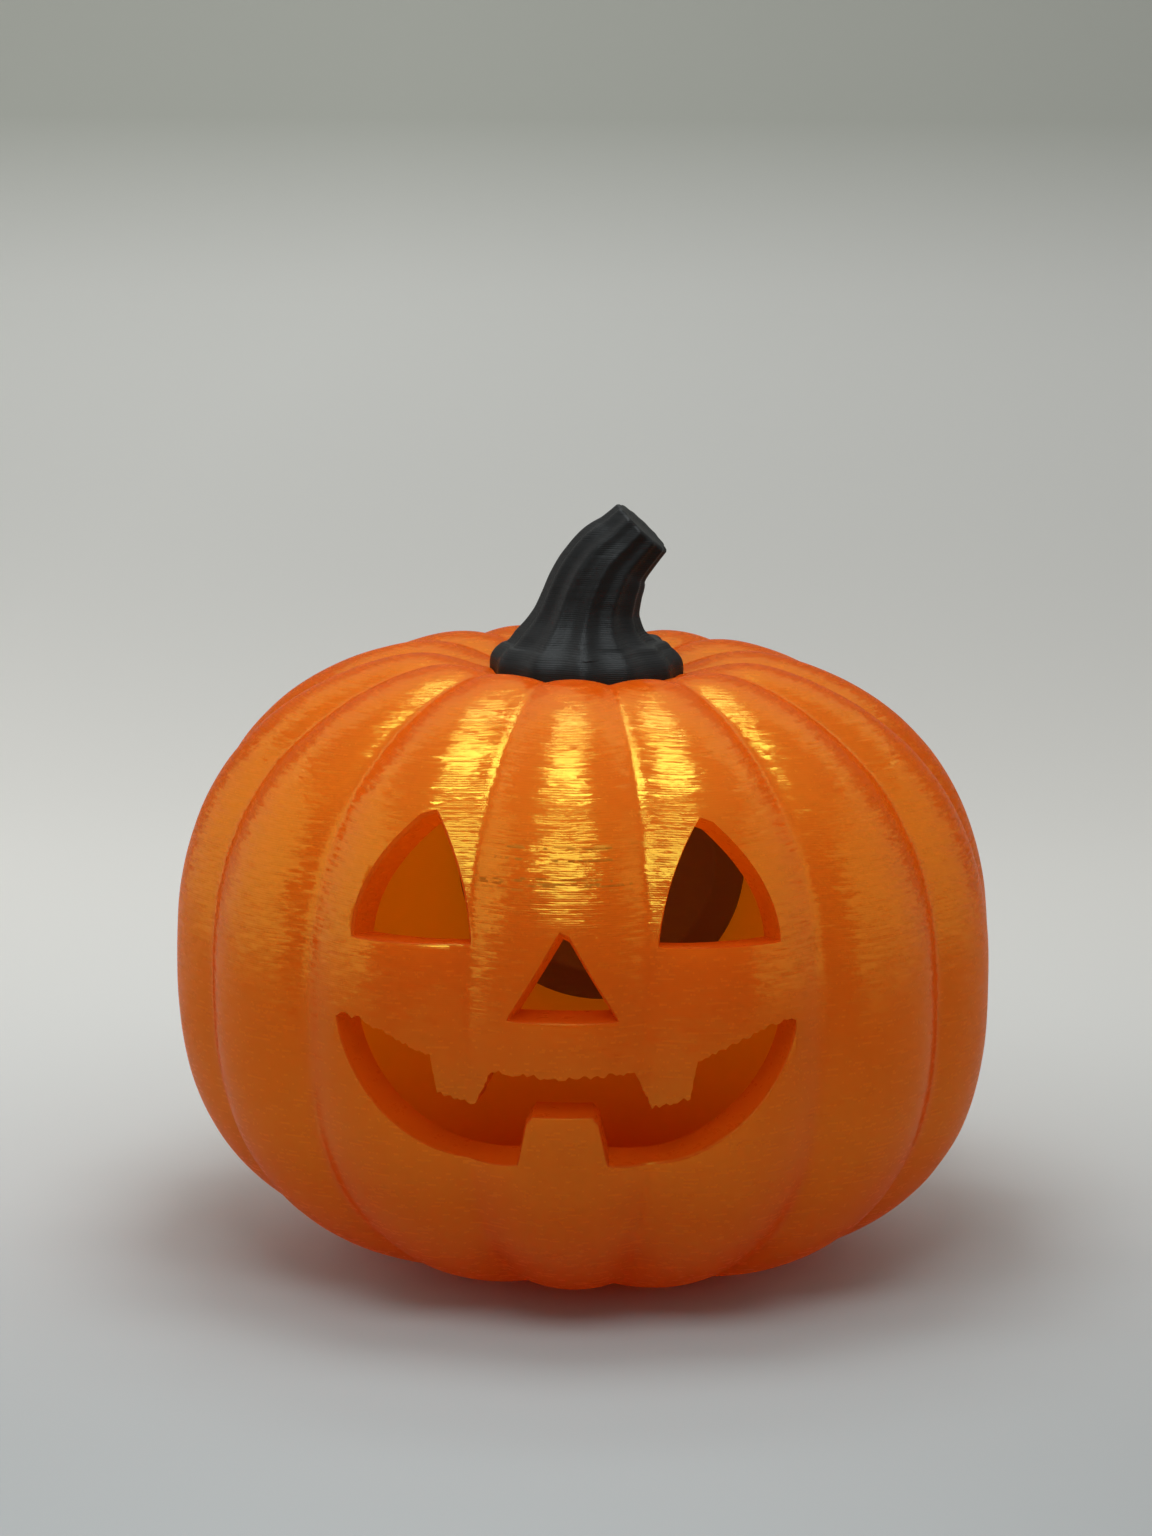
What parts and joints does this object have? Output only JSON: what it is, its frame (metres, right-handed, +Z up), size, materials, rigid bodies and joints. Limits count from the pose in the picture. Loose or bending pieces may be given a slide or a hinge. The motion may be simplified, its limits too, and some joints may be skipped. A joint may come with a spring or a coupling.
{
  "type": "carved pumpkin lantern",
  "caption": "Hollow ribbed pumpkin lantern printed in translucent orange plastic, with a cut smiling face, a dark fluted stem and a flat foot to stand on.",
  "frame": {"origin": "On the surface that the lantern stands on, under the middle of the shell, which is the middle of its box", "axes": "+Z up through the stem, the cut face looks along -Y, +X to the right of someone who faces it, and the stem leans to +X"},
  "size_m": [0.0804, 0.0814, 0.0752],
  "materials": {
    "shell": "silky translucent orange plastic in fine printed layers",
    "stem": "black satin plastic in fine printed layers",
    "back_cover": "dark satin plastic"
  },
  "bodies": {
    "root": {"shell": "shell", "stem": "stem", "back_cover": "back_cover"}
  },
  "joints": []
}
